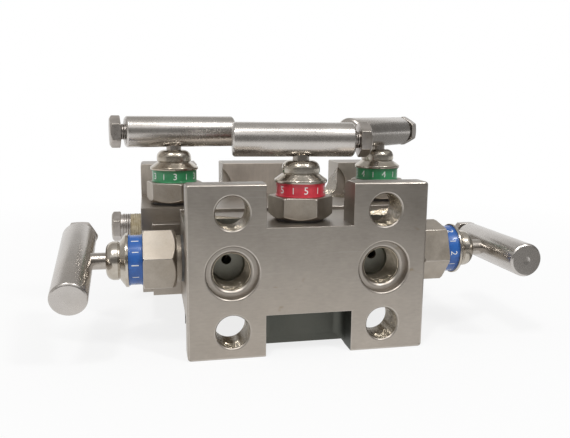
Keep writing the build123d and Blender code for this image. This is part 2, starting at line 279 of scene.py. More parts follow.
def new_material(name: str) -> tuple[Material, Graph, Node]:
    """Makes a material with one Principled shader.

    Args:
        name: the material's name.

    Returns:
        The material, its graph and its Principled shader.
    """
    material = bpy.data.materials.new(name)
    graph, surface = emptied(material)
    shader = graph.node("ShaderNodeBsdfPrincipled")
    graph.link(shader.outputs["BSDF"], surface)
    return material, graph, shader


# ---------------------------------------------------------------------------
# Finishes
# ---------------------------------------------------------------------------


@dataclass(frozen=True)
class SteelFinish:
    """Stainless steel with cloudy tone, a directional grain, faint scratches and, where asked,
    painted shade towards the top.

    Attributes:
        name: the material's name.
        light: colour of the light clouds.
        dark: colour of the dark clouds.
        roughness: roughness where clouds and grain are low and where they are high.
        cloud_size: how fine the clouds are, in repeats per metre.
        grain: stretch of the grain along X, Y and Z.
        grain_size: how fine the grain is, in repeats per metre.
        grain_depth: depth of the grain.
        grain_tone: brightness of the grain's dark and light.
        scratch_share: strength of the fine scratches.
        tarnish: colour of the warm blotches and the rubbed marks.
        tarnish_share: strength of the blotches.
        rise: levels between which the metal takes painted shade, darker towards the top.
        rise_tint: what the colour is multiplied with above them, as painted shade.
        stains: strength of the rubbed marks.
        groove: pitch and depth of the boring tool's grooves.
    """

    CLOUD_BAND: ClassVar[Point2] = (0.34, 0.66)
    BLOTCH_BAND: ClassVar[Point2] = (0.48, 0.70)
    BLOTCH_SCALE: ClassVar[float] = 0.45
    GRAIN_BAND: ClassVar[Point2] = (0.3, 0.7)
    GLOSS_BAND: ClassVar[Point2] = (0.35, 0.65)
    GLOSS_OF_CLOUDS: ClassVar[float] = 0.6
    GLOSS_OF_GRAIN: ClassVar[float] = 0.4
    SCRATCHES: ClassVar[Pattern] = Pattern(1400.0, stretch=(0.02, 1.0, 1.0))
    SCRATCH_BAND: ClassVar[Point2] = (0.64, 0.72)
    SCRATCH_COLOUR: ClassVar[Colour] = (0.74, 0.72, 0.69)
    # Uneven edge of the painted shade towards the top.
    RISE_WAVER: ClassVar[Pattern] = Pattern(22.0, 3.0)
    RISE_WAVER_HEIGHT: ClassVar[float] = 12.0 * MM
    GROOVE_WAVER: ClassVar[Pattern] = Pattern(400.0)
    GROOVE_WAVER_ANGLE: ClassVar[float] = 1.5
    MARKS: ClassVar[Pattern] = Pattern(150.0, stretch=(1.0, 1.0, 1.7))
    MARK_BAND: ClassVar[Point2] = (0.66, 0.74)
    MARKED_AREAS: ClassVar[Pattern] = Pattern(38.0, 1.0)
    MARKED_AREA_BAND: ClassVar[Point2] = (0.52, 0.62)

    name: str
    light: Colour
    dark: Colour
    roughness: Point2
    cloud_size: float = 45.0
    grain: Point3 = (1.0, 1.0, 1.0)
    grain_size: float = 900.0
    grain_depth: float = 0.004 * MM
    grain_tone: Point2 = (0.93, 1.05)
    scratch_share: float = 0.0
    tarnish: Colour = (0.30, 0.22, 0.13)
    tarnish_share: float = 0.15
    rise: Point2 | None = None
    rise_tint: Colour = WHITE
    stains: float = 0.0
    groove: Point2 | None = None

    def material(self) -> Material:
        """Builds the finish as a node material.

        Returns:
            The material.
        """
        material, graph, shader = new_material(self.name)
        clouds = graph.noise(Pattern(self.cloud_size, detail=5.0, roughness=0.62))
        grain = graph.noise(Pattern(self.grain_size, detail=3.0, stretch=self.grain))
        blotches = graph.noise(Pattern(self.cloud_size * self.BLOTCH_SCALE, detail=3.0))
        colour = graph.blend(graph.remap(clouds, self.CLOUD_BAND), self.dark, self.light)
        warm = graph.remap(blotches, self.BLOTCH_BAND, (0.0, self.tarnish_share))
        colour = graph.blend(warm, colour, self.tarnish)
        # Painted shade: the colour darkens and cools towards the top.
        if self.rise:
            colour = graph.blend(1.0, colour, self._rise(graph), "MULTIPLY")
        if self.stains:
            colour = graph.blend(self._stains(graph), colour, self.tarnish)
        colour = graph.blend(1.0, colour, self._grain_grey(graph, grain), "MULTIPLY")
        height = grain
        if self.scratch_share:
            cut = graph.remap(graph.noise(self.SCRATCHES), self.SCRATCH_BAND,
                              (0.0, self.scratch_share))
            colour = graph.blend(cut, colour, self.SCRATCH_COLOUR)
            height = graph.math("SUBTRACT", grain, cut)
        gloss = graph.math("ADD", graph.math("MULTIPLY", clouds, self.GLOSS_OF_CLOUDS),
                           graph.math("MULTIPLY", grain, self.GLOSS_OF_GRAIN))
        normal = graph.bump(height, self.grain_depth)
        if self.groove:
            normal = graph.bump(self._grooves(graph, self.groove[0]), self.groove[1])
        graph.link(colour, shader.inputs["Base Color"])
        graph.link(graph.remap(gloss, self.GLOSS_BAND, self.roughness),
                   shader.inputs["Roughness"])
        graph.link(normal, shader.inputs["Normal"])
        shader.inputs["Metallic"].default_value = 1.0
        return material

    def _grain_grey(self, graph: Graph, grain: NodeSocket) -> NodeSocket:
        """Light and dark of the grain, as a grey to multiply with.

        Args:
            graph: the material's graph.
            grain: the grain's pattern.

        Returns:
            The grey.
        """
        tone = graph.remap(grain, self.GRAIN_BAND, self.grain_tone)
        return graph.add("ShaderNodeCombineColor", {0: tone, 1: tone, 2: tone})

    def _rise(self, graph: Graph) -> NodeSocket:
        """Painted shade that grows with height over the block, with an uneven edge.

        Args:
            graph: the material's graph.

        Returns:
            The painted shade, as a tint to multiply with.
        """
        reach = self.RISE_WAVER_HEIGHT
        waver = graph.remap(graph.noise(self.RISE_WAVER), (0.0, 1.0), (-reach, reach))
        level = graph.math("ADD", graph.along(2), waver)
        return graph.blend(graph.remap(level, self.rise), WHITE, self.rise_tint)

    def _grooves(self, graph: Graph, pitch: float) -> NodeSocket:
        """Height of the tool's grooves, which follow one another along Y.

        Args:
            graph: the material's graph.
            pitch: distance from groove to groove.

        Returns:
            The height, from 0 to 1.
        """
        reach = self.GROOVE_WAVER_ANGLE
        waver = graph.remap(graph.noise(self.GROOVE_WAVER), (0.0, 1.0), (-reach, reach))
        turns = graph.math("MULTIPLY", graph.along(1), 2 * math.pi / pitch)
        wave = graph.math("SINE", graph.math("ADD", turns, waver))
        return graph.remap(wave, (-1.0, 1.0))

    def _stains(self, graph: Graph) -> NodeSocket:
        """Share of a few small rubbed marks.

        Args:
            graph: the material's graph.

        Returns:
            The share.
        """
        spot = graph.remap(graph.noise(self.MARKS), self.MARK_BAND, (0.0, self.stains))
        area = graph.remap(graph.noise(self.MARKED_AREAS), self.MARKED_AREA_BAND)
        return graph.math("MULTIPLY", spot, area)


@dataclass(frozen=True)
class PlasticFinish:
    """Moulded or printed plastic with slight colour variation.

    Attributes:
        name: the material's name.
        colour: the main colour.
        shade: colour of the darker clouds.
        roughness: roughness where the clouds are low and where they are high.
        coat: weight of the clear gloss on top.
        bump_depth: depth of the fine texture.
    """

    CLOUDS: ClassVar[Pattern] = Pattern(260.0, 4.0)
    CLOUD_BAND: ClassVar[Point2] = (0.38, 0.64)
    GLOSS_BAND: ClassVar[Point2] = (0.3, 0.7)
    TEXTURE: ClassVar[Pattern] = Pattern(2600.0)

    name: str
    colour: Colour
    shade: Colour
    roughness: Point2 = (0.28, 0.42)
    coat: float = 0.0
    bump_depth: float = 0.01 * MM

    def material(self) -> Material:
        """Builds the finish as a node material.

        Returns:
            The material.
        """
        material, graph, shader = new_material(self.name)
        clouds = graph.noise(self.CLOUDS)
        colour = graph.blend(graph.remap(clouds, self.CLOUD_BAND), self.colour, self.shade)
        graph.link(colour, shader.inputs["Base Color"])
        graph.link(graph.remap(clouds, self.GLOSS_BAND, self.roughness),
                   shader.inputs["Roughness"])
        graph.link(graph.bump(graph.noise(self.TEXTURE), self.bump_depth),
                   shader.inputs["Normal"])
        shader.inputs["Coat Weight"].default_value = self.coat
        return material


Finish = SteelFinish | PlasticFinish

# The block's rise and rise_tint paint shade, darker and cooler towards the top.
BLOCK_STEEL = SteelFinish(
    "block_steel", light=(0.50, 0.452, 0.40), dark=(0.385, 0.347, 0.305), roughness=(0.34, 0.48),
    cloud_size=34.0, grain=(0.25, 1.0, 1.0), grain_size=1500.0, grain_depth=0.006 * MM,
    scratch_share=0.10, tarnish_share=0.12, rise=(-18.0 * MM, 22.0 * MM),
    rise_tint=(0.82, 0.83, 0.84), stains=0.5)
# Painted shade and reflection: bore walls are warmer and a little darker than the face; the
# grooves are the boring tool's.
BORE_SHADE_STEEL = SteelFinish(
    "bore_grooves_and_painted_shade", light=(0.52, 0.46, 0.37), dark=(0.34, 0.29, 0.22), roughness=(0.10, 0.18),
    cloud_size=260.0, tarnish_share=0.30, groove=(0.5 * MM, 0.22 * MM))
# Painted shade: near-black steel on the pocket's walls, standing in for the shadow under the web.
POCKET_SHADE_STEEL = SteelFinish(
    "pocket_painted_shade", light=(0.135, 0.140, 0.125), dark=(0.095, 0.100, 0.088),
    roughness=(0.45, 0.60), cloud_size=60.0, tarnish_share=0.05)
# Painted shade: darker steel for the deep ends of the bores and ports.
BORE_END_SHADE_STEEL = SteelFinish(
    "bore_end_painted_shade", light=(0.37, 0.37, 0.325), dark=(0.26, 0.26, 0.225),
    roughness=(0.45, 0.60), cloud_size=60.0, tarnish_share=0.05)
# Painted light: the rear flange's upper front is lighter than the block; its streaky grain and
# scratches are its own milling.
REAR_LIGHT_STEEL = SteelFinish(
    "rear_milled_and_painted_light", light=(0.66, 0.60, 0.54), dark=(0.52, 0.47, 0.42), roughness=(0.55, 0.68),
    cloud_size=90.0, grain=(1.0, 1.0, 0.2), grain_size=1200.0, grain_depth=0.01 * MM,
    scratch_share=0.15, tarnish_share=0.10)
EDGE_STEEL = SteelFinish(
    "edge_steel", light=(0.56, 0.52, 0.47), dark=(0.44, 0.40, 0.355), roughness=(0.28, 0.40),
    cloud_size=120.0, tarnish_share=0.05)
BONNET_STEEL = SteelFinish(
    "bonnet_steel", light=(0.46, 0.412, 0.355), dark=(0.35, 0.31, 0.262), roughness=(0.42, 0.54),
    cloud_size=110.0, grain_size=1600.0, tarnish_share=0.25)
GLAND_STEEL = SteelFinish(
    "gland_steel", light=(0.58, 0.54, 0.48), dark=(0.46, 0.42, 0.36), roughness=(0.16, 0.26),
    cloud_size=160.0, grain_size=1500.0, grain_depth=0.0006 * MM, grain_tone=(0.97, 1.03),
    tarnish_share=0.45)
STEM_STEEL = SteelFinish(
    "stem_steel", light=(0.50, 0.46, 0.42), dark=(0.40, 0.37, 0.33), roughness=(0.16, 0.26),
    cloud_size=200.0, grain_size=2200.0, tarnish_share=0.15)
HANDLE_STEEL = SteelFinish(
    "handle_steel", light=(0.60, 0.57, 0.54), dark=(0.51, 0.482, 0.455), roughness=(0.24, 0.30),
    cloud_size=70.0, grain_size=1200.0, grain_depth=0.0003 * MM, grain_tone=(0.985, 1.015),
    tarnish_share=0.12)
BOLT_STEEL = SteelFinish(
    "bolt_steel", light=(0.58, 0.54, 0.51), dark=(0.42, 0.39, 0.36), roughness=(0.26, 0.40),
    cloud_size=180.0, grain_size=1800.0, tarnish_share=0.2)
# Near-black seal: its colour is partly the seal's own and partly painted shade for the gap under
# each bonnet hexagon.
SEAL_AND_GAP_SHADE = PlasticFinish("seal_and_gap_shade", (0.10, 0.095, 0.09), (0.06, 0.058, 0.055), (0.45, 0.6))
PACKING_WHITE = PlasticFinish("packing_white", (0.72, 0.71, 0.68), (0.62, 0.61, 0.57), (0.4, 0.5))
TAPE_CREAM = PlasticFinish(
    "tape_cream", (0.66, 0.58, 0.42), (0.42, 0.34, 0.20), (0.35, 0.5), bump_depth=0.03 * MM)
RING_PRINT = PlasticFinish("ring_print", (0.80, 0.80, 0.78), (0.70, 0.70, 0.68), (0.4, 0.5))


class Duty(Enum):
    """What a valve does, and the colour of the ring that tells it."""

    VENT = PlasticFinish("ring_red", (0.62, 0.035, 0.055), (0.50, 0.02, 0.04), coat=0.3)
    EQUALIZE = PlasticFinish("ring_green", (0.035, 0.26, 0.10), (0.02, 0.19, 0.07), coat=0.3)
    ISOLATE = PlasticFinish("ring_blue", (0.02, 0.12, 0.42), (0.012, 0.085, 0.33), coat=0.3)

    @property
    def slot(self) -> str:
        """The record's slot for the ring."""
        return self.value.name


class Finishes:
    """Makes each finish's material once and hands it out again."""

    def __init__(self) -> None:
        """Starts with no materials made."""
        self._made: dict[str, Material] = {}

    def of(self, finish: Finish) -> Material:
        """The material of a finish.

        Args:
            finish: the finish wanted.

        Returns:
            Its material, made at the first call.
        """
        if finish.name not in self._made:
            self._made[finish.name] = finish.material()
        return self._made[finish.name]


# ---------------------------------------------------------------------------
# Mesh building
# ---------------------------------------------------------------------------


def put(name: str, data: ID) -> Object:
    """Makes an object and links it to the scene.

    Args:
        name: the object's name.
        data: its mesh, curve, lamp or camera.

    Returns:
        The object.
    """
    owner = bpy.data.objects.new(name, data)
    bpy.context.scene.collection.objects.link(owner)
    return owner


def evaluated_mesh(owner: Object) -> Mesh:
    """Applies an object's modifiers and removes the object.

    Args:
        owner: the object.

    Returns:
        Its evaluated mesh.
    """
    graph = bpy.context.evaluated_depsgraph_get()
    mesh = bpy.data.meshes.new_from_object(owner.evaluated_get(graph))
    bpy.data.objects.remove(owner)
    return mesh


def rounded(points: Sequence[Point2], radius: float, closed: bool, steps: int = 3) -> list[Point2]:
    """Rounds the corners of an outline.

    Args:
        points: the outline's corners.
        radius: how far from each corner the round starts.
        closed: whether the last corner joins the first.
        steps: how many lines replace a corner.

    Returns:
        The outline with a short curve in place of each corner.
    """
    made: list[Point2] = []
    last = len(points) - 1
    for index, point in enumerate(points):
        if not closed and index in (0, last):
            made.append(point)
            continue
        corner = Vector(point)
        before = Vector(points[index - 1]) - corner
        after = Vector(points[(index + 1) % len(points)]) - corner
        start, end = (corner + side.normalized() * min(radius, side.length * CORNER_SHARE)
                      for side in (before, after))
        for step in range(steps + 1):
            t = step / steps
            spot = start * (1 - t) ** 2 + corner * (2 * t * (1 - t)) + end * t ** 2
            made.append((spot.x, spot.y))
    return made


def round_angles(count: int) -> list[float]:
    """Evenly spaced angles in a full turn."""
    return [2 * math.pi * k / count for k in range(count)]


def on_ring(radius: float, angle: float, height: float) -> Point3:
    """The point at an angle on a ring about +Z."""
    return radius * math.cos(angle), radius * math.sin(angle), height


def bridge(build: BMesh, rings: Sequence[Sequence[BMVert]]) -> None:
    """Joins each ring of vertices to the next with faces.

    Args:
        build: the bmesh that holds them.
        rings: the rings, where a ring of one vertex is a pole.
    """
    for low, high in zip(rings, rings[1:]):
        count = max(len(low), len(high))
        for k in range(count):
            n = (k + 1) % count
            if len(low) == 1:
                build.faces.new((low[0], high[n], high[k]))
            elif len(high) == 1:
                build.faces.new((low[k], low[n], high[0]))
            else:
                build.faces.new((low[k], low[n], high[n], high[k]))


def lathe(outline: Sequence[Point2], closed: bool, segments: int = 96) -> Mesh:
    """Spins an outline of (radius, height) points round +Z.

    Args:
        outline: the section, either a closed loop or a line from pole to pole.
        closed: whether the section is a loop clear of the axis.
        segments: facets in a full turn.

    Returns:
        A closed mesh with outward faces.
    """
    build = bmesh.new()
    rings = []
    for radius, height in outline:
        angles = [0.0] if radius < WELD else round_angles(segments)
        rings.append([build.verts.new(on_ring(radius, angle, height)) for angle in angles])
    if closed:
        rings.append(rings[0])
    bridge(build, rings)
    return finish_mesh(build)


def finish_mesh(build: BMesh, angle: float = SMOOTH_ANGLE) -> Mesh:
    """Turns a bmesh into a smooth-shaded mesh whose faces point outwards.

    Args:
        build: the bmesh, which is freed.
        angle: edges that turn more than this stay sharp.

    Returns:
        The mesh.
    """
    bmesh.ops.remove_doubles(build, verts=build.verts, dist=WELD)
    bmesh.ops.recalc_face_normals(build, faces=build.faces)
    mesh = bpy.data.meshes.new("piece")
    build.to_mesh(mesh)
    build.free()
    shade(mesh, angle)
    return mesh


def shade(mesh: Mesh, angle: float = SMOOTH_ANGLE) -> None:
    """Shades a mesh smooth except across edges that turn more than the angle."""
    mesh.polygons.foreach_set("use_smooth", [True] * len(mesh.polygons))
    mesh.set_sharp_from_angle(angle=angle)


def joined(meshes: Sequence[Mesh]) -> Mesh:
    """Joins meshes into one.

    Args:
        meshes: the meshes.

    Returns:
        One shaded mesh.
    """
    build = bmesh.new()
    for mesh in meshes:
        build.from_mesh(mesh)
    made = bpy.data.meshes.new("joined")
    build.to_mesh(made)
    build.free()
    shade(made)
    return made


@dataclass
class EdgeBreak:
    """Copies a CAD node's mesh and breaks its outer sharp edges with a narrow round.

    Attributes:
        width: width of the broken edge.
        least_flat: smallest area of a face that is shaded flat, in square metres.
        edge_angle: edges that turn more than this are broken.
        reach: an edge that faces metal nearer than this lies inside and stays sharp.
        lift: how far off the edge the search for metal starts.
        segments: facets across the broken edge.
    """

    width: float
    least_flat: float = 12 * MM ** 2
    edge_angle: float = math.radians(28)
    reach: float = 30 * MM
    lift: float = 0.02 * MM
    segments: int = 2

    def mesh(self, node: str) -> Mesh:
        """Makes the softened copy.

        Args:
            node: the CAD node.

        Returns:
            A new mesh whose broken edges use the second material slot.
        """
        build = bmesh.new()
        build.from_mesh(frame["nodes"][node].data)
        bmesh.ops.remove_doubles(build, verts=build.verts, dist=CAD_WELD)
        build.normal_update()
        self._mark_edges(build)
        copy = bpy.data.meshes.new(node)
        build.to_mesh(copy)
        build.free()
        for _ in range(2):
            copy.materials.append(None)
        owner = put(node + ".soft", copy)
        bevel = owner.modifiers.new("edges", "BEVEL")
        bevel.width = self.width
        bevel.segments = self.segments
        bevel.limit_method = "WEIGHT"
        bevel.use_clamp_overlap = False
        bevel.material = 1
        bevel.miter_outer = "MITER_ARC"
        made = evaluated_mesh(owner)
        shade(made)
        self._keep_flats(made)
        return made

    def _mark_edges(self, build: BMesh) -> None:
        """Gives the edges to be broken their bevel weight.

        Args:
            build: the node's merged mesh.
        """
        metal = BVHTree.FromBMesh(build)
        weight = build.edges.layers.float.new("bevel_weight_edge")
        for edge in build.edges:
            if edge.is_convex and edge.calc_face_angle(0.0) > self.edge_angle:
                out = sum((face.normal for face in edge.link_faces), Vector()).normalized()
                start = (edge.verts[0].co + edge.verts[1].co) / 2 + out * self.lift
                open_to_air = metal.ray_cast(start, out, self.reach)[0] is None
                edge[weight] = float(open_to_air)

    def _keep_flats(self, mesh: Mesh) -> None:
        """Makes sharp the edges of flat faces, so that their shading stays flat.

        Args:
            mesh: the mesh, already shaded.
        """
        build = bmesh.new()
        build.from_mesh(mesh)
        planes: dict[int, tuple[float, ...]] = {}
        areas: dict[tuple[float, ...], float] = {}
        # Facets share a plane where their normals and, to 0.1 mm, their levels agree.
        for face in build.faces:
            level = face.calc_center_median().dot(face.normal) / MM
            plane = (*(round(part, 3) for part in face.normal), round(level, 1))
            planes[face.index] = plane
            areas[plane] = areas.get(plane, 0.0) + face.calc_area()
        for edge in build.edges:
            met = {planes[face.index] for face in edge.link_faces}
            if len(met) > 1 and max(areas[plane] for plane in met) > self.least_flat:
                edge.smooth = False
        build.to_mesh(mesh)
        build.free()


@dataclass
class PieceNodes:
    """Geometry Nodes tree with named inputs, whose result is applied to a plain mesh."""

    NAME: ClassVar[str]
    INPUTS: ClassVar[dict[str, str]]

    tree: NodeTree = field(init=False)
    sockets: dict[str, str] = field(init=False)

    def __post_init__(self) -> None:
        """Builds the tree, which ends in Realize Instances and Set Material."""
        self.tree = bpy.data.node_groups.new(self.NAME, "GeometryNodeTree")
        face = self.tree.interface
        face.new_socket("Geometry", in_out="OUTPUT", socket_type="NodeSocketGeometry")
        self.sockets = {
            name: face.new_socket(name, in_out="INPUT",
                                  socket_type="NodeSocket" + kind).identifier
            for name, kind in self.INPUTS.items()}
        graph = Graph(self.tree)
        given = graph.node("NodeGroupInput").outputs
        solid = graph.add("GeometryNodeRealizeInstances", {0: self.shape(graph, given)})
        dressed = graph.add("GeometryNodeSetMaterial",
                            {"Geometry": solid, "Material": given["Material"]})
        graph.link(dressed, graph.node("NodeGroupOutput").inputs[0])

    def shape(self, graph: Graph, given: Any) -> NodeSocket:
        """The tree's own nodes, which each kind of piece adds."""
        raise NotImplementedError

    def run(self, values: dict[str, Any]) -> Mesh:
        """Runs the tree once.

        Args:
            values: the inputs' values by name.

        Returns:
            The result as a plain mesh.
        """
        owner = put(self.NAME, bpy.data.meshes.new(self.NAME))
        modifier = owner.modifiers.new(self.NAME, "NODES")
        modifier.node_group = self.tree
        for name, value in values.items():
            modifier[self.sockets[name]] = value
        return evaluated_mesh(owner)


@dataclass
class ThreadNodes(PieceNodes):
    """Sweeps a V-shaped ridge along a helix about +Z."""

    NAME: ClassVar[str] = "helical_thread"
    INPUTS: ClassVar[dict[str, str]] = {
        "Radius": "Float", "Pitch": "Float", "Turns": "Float", "Ridge": "Float",
        "Material": "Material"}

    steps_per_turn: int = 40
    ridge_corners: int = 4

    def shape(self, graph: Graph, given: Any) -> NodeSocket:
        """Sweeps the ridge's profile along the helix.

        Args:
            graph: the tree's graph.
            given: the group's inputs by name.

        Returns:
            The ridge.
        """
        helix = graph.add("GeometryNodeCurveSpiral", {
            "Start Radius": given["Radius"], "End Radius": given["Radius"],
            "Rotations": given["Turns"], "Resolution": self.steps_per_turn,
            "Height": graph.math("MULTIPLY", given["Pitch"], given["Turns"])})
        upright = graph.add("GeometryNodeSetCurveNormal", {0: helix})
        profile = graph.add("GeometryNodeCurvePrimitiveCircle", {
            "Resolution": self.ridge_corners, "Radius": given["Ridge"]}, mode="RADIUS")
        return graph.add("GeometryNodeCurveToMesh", {
            "Curve": upright, "Profile Curve": profile, "Fill Caps": True})

    def mesh(self, radius: float, pitch: float, length: float, ridge: float,
             material: Material) -> Mesh:
        """Makes one thread.

        Args:
            radius: radius of the ridge's middle line.
            pitch: rise in one turn.
            length: length along the axis.
            ridge: half height of the ridge.
            material: its material.

        Returns:
            The thread's mesh, from z = 0 to the length.
        """
        return self.run({"Radius": radius, "Pitch": pitch, "Turns": length / pitch,
                         "Ridge": ridge, "Material": material})


@dataclass
class TickNodes(PieceNodes):
    """Sets small raised bars evenly round a ring about +Z."""

    NAME: ClassVar[str] = "ring_ticks"
    INPUTS: ClassVar[dict[str, str]] = {
        "Count": "Int", "Radius": "Float", "Bar": "Vector", "Material": "Material"}

    def shape(self, graph: Graph, given: Any) -> NodeSocket:
        """Places one bar on each point of a circle and turns it to face outwards.

        Args:
            graph: the tree's graph.
            given: the group's inputs by name.

        Returns:
            The bars.
        """
        circle = graph.add("GeometryNodeMeshCircle", {
            "Vertices": given["Count"], "Radius": given["Radius"]})
        bar = graph.add("GeometryNodeMeshCube", {"Size": given["Bar"]})
        step = graph.math("DIVIDE", 2 * math.pi, given["Count"])
        angle = graph.math("MULTIPLY", graph.node("GeometryNodeInputIndex").outputs[0], step)
        turn = graph.add("ShaderNodeCombineXYZ", {"Z": angle})
        return graph.add("GeometryNodeInstanceOnPoints", {
            "Points": circle, "Instance": bar, "Rotation": turn})

    def mesh(self, count: int, radius: float, bar: Point3, material: Material) -> Mesh:
        """Makes one ring of bars.

        Args:
            count: bars round the ring.
            radius: radius of the bars' centres.
            bar: size of a bar outwards, round and along the ring.
            material: their material.

        Returns:
            The bars' mesh, centred on z = 0.
        """
        return self.run({"Count": count, "Radius": radius, "Bar": bar, "Material": material})


@dataclass
class Place:
    """A local frame on the part: +Z runs along the axis and +X along the side direction."""

    origin: Vector
    out: Vector
    side: Vector

    @property
    def matrix(self) -> Matrix:
        """The frame as a matrix that takes local points to the row frame.

        Returns:
            The matrix.
        """
        across = self.out.cross(self.side)
        turn = Matrix((self.side, across, self.out)).transposed().to_4x4()
        return Matrix.Translation(self.origin) @ turn

    def span(self, node: str) -> Point2:
        """Lowest and highest level of a CAD node's box along the axis."""
        return self.reach(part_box(node))

    def reach(self, points: Sequence[Vector]) -> Point2:
        """Lowest and highest level of some points along the axis."""
        levels = [(point - self.origin).dot(self.out) for point in points]
        return min(levels), max(levels)

    def raised(self, level: float) -> "Place":
        """The same frame, moved along its axis."""
        return Place(self.origin + self.out * level, self.out, self.side)


@dataclass
class Maker:
    """Adds finished pieces to the scene."""

    finishes: Finishes
    thread: ThreadNodes
    ticks: TickNodes
    count: int = 0

    def add(self, name: str, mesh: Mesh, place: Place | None, body: str, slot: str,
            materials: Sequence[Finish], replaces: Sequence[str] = ()) -> Object:
        """Adds one piece at its place, with its place in its mesh.

        Args:
            name: the piece's name.
            mesh: its mesh in local coordinates.
            place: its frame, or None where the mesh is already in the row frame.
            body: the CAD body that it rides on.
            slot: the record's material slot; not used.
            materials: finishes by material index.
            replaces: CAD nodes that it stands for.

        Returns:
            The piece.
        """
        if place is not None:
            mesh.transform(place.matrix)
        mesh.name = name
        zones = [0] * len(mesh.polygons)
        mesh.polygons.foreach_get("material_index", zones)
        mesh.materials.clear()
        for finish in materials:
            mesh.materials.append(self.finishes.of(finish))
        mesh.polygons.foreach_set("material_index", zones)
        piece = put(name, mesh)
        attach(piece, body)
        if replaces:
            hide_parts(*replaces)
        self.count += 1
        log.info("%s: %d faces on %s", name, len(mesh.polygons), body)
        return piece

    def dress(self, node: str, finish: Finish) -> None:
        """Gives a CAD node that stays as it is its finish.

        Args:
            node: the CAD node.
            finish: its finish.
        """
        mesh = frame["nodes"][node].data
        mesh.materials.clear()
        mesh.materials.append(self.finishes.of(finish))
        log.info("%s: dressed", node)


# ---------------------------------------------------------------------------
# Sub-assemblies
# ---------------------------------------------------------------------------


class Zone(Enum):
    """Parts of the block's surface that have their own finish, by material index: the pocket, bore
    and bore-end zones carry painted shade, and the rear zone painted light.
    """

    FACE = 0
    EDGE = 1
    BORE = 2
    POCKET = 3
    REAR = 4
    FLOOR = 5


@dataclass
class Block:
    """The machined block.

    Attributes:
        edges: how its edges are broken.
        bolt_x: distance of the holes and ports from the middle.
        bolt_z: height of the holes above the ports.
        bore_r: radius within which a facet belongs to a hole or port.
        bore_back: how far back a slanted facet still counts as bore.
        pocket_half: half width of the milled pocket, whose walls are painted with shade.
        pocket_top: level of its top.
        pocket_back: how far back it reaches.
        front_skin: depth of the front face's own edges.
        floor_from: depth from which a bore's end is its floor, which is painted with shade.
        rear_from: depth from which the rear flange starts, whose upper front is painted lighter.
        facing: how much a normal points along Y before its facet faces front or back.
        front_facing: the same for the rear flange's front.
    """

    edges: EdgeBreak = field(
        default_factory=lambda: EdgeBreak(0.2 * MM, least_flat=36 * MM ** 2))
    bolt_x: float = 27.0 * MM
    bolt_z: float = 20.65 * MM
    bore_r: float = 6.9 * MM
    bore_back: float = 27.0 * MM
    pocket_half: float = 15.6 * MM
    pocket_top: float = -15.2 * MM
    pocket_back: float = 13.0 * MM
    front_skin: float = 0.6 * MM
    floor_from: float = 6.0 * MM
    rear_from: float = 75.0 * MM
    facing: float = 0.3
    front_facing: float = 0.5

    def build(self, maker: Maker) -> None:
        """Adds the block with its edges broken, its bores, bore ends and pocket painted with shade
        and the rear flange's upper front painted lighter.

        Args:
            maker: adds the piece.
        """
        mesh = self.edges.mesh("manifold_body")
        for polygon in mesh.polygons:
            zone = self._zone(polygon.center, polygon.normal)
            if zone is not Zone.FACE:
                polygon.material_index = zone.value
        maker.add("block", mesh, None, "block", "body_steel",
                  (BLOCK_STEEL, EDGE_STEEL, BORE_SHADE_STEEL, POCKET_SHADE_STEEL, REAR_LIGHT_STEEL, BORE_END_SHADE_STEEL),
                  ["manifold_body"])

    def _zone(self, centre: Vector, normal: Vector) -> Zone:
        """The zone of a facet.

        Args:
            centre: the facet's centre.
            normal: the facet's normal.

        Returns:
            Its zone; FACE leaves the facet as it is.
        """
        across = abs(abs(centre.x) - self.bolt_x)
        if any(math.hypot(across, centre.z - level) < self.bore_r
               for level in (-self.bolt_z, 0.0, self.bolt_z)):
            # Painted shade: a bore's deep end is darker.
            if normal.y < -self.facing and centre.y > self.floor_from:
                return Zone.FLOOR
            # Painted shade and reflection: bore walls take the warmer, darker steel.
            if abs(normal.y) < self.facing or self.front_skin < centre.y < self.bore_back:
                return Zone.BORE
        # Painted light: the rear flange's upper front takes the lighter steel.
        if centre.y > self.rear_from and centre.z > 0.0 and normal.y < -self.front_facing:
            return Zone.REAR
        # Painted shade: the pocket's walls take the near-black steel.
        in_pocket_shade = (abs(centre.x) < self.pocket_half and centre.z < self.pocket_top
                     and self.front_skin < centre.y < self.pocket_back)
        return Zone.POCKET if in_pocket_shade else Zone.FACE


@dataclass
class Bonnet:
    """Hexagon bonnet, its seal and its packing."""

    edges: EdgeBreak = field(default_factory=lambda: EdgeBreak(0.18 * MM))

    def build(self, maker: Maker, valve: str) -> None:
        """Adds the bonnet and dresses the pieces that it hides.

        Args:
            maker: adds the pieces.
            valve: the valve's name.
        """
        maker.add(f"{valve}_hexagon", self.edges.mesh(f"{valve}_bonnet"), None, "block",
                  "bonnet_steel", (BONNET_STEEL, EDGE_STEEL), [f"{valve}_bonnet"])
        # The seal's near-black colour is partly painted shade for the gap under the hexagon.
        maker.dress(f"{valve}_bonnet_seal", SEAL_AND_GAP_SHADE)
        maker.dress(f"{valve}_packing", PACKING_WHITE)


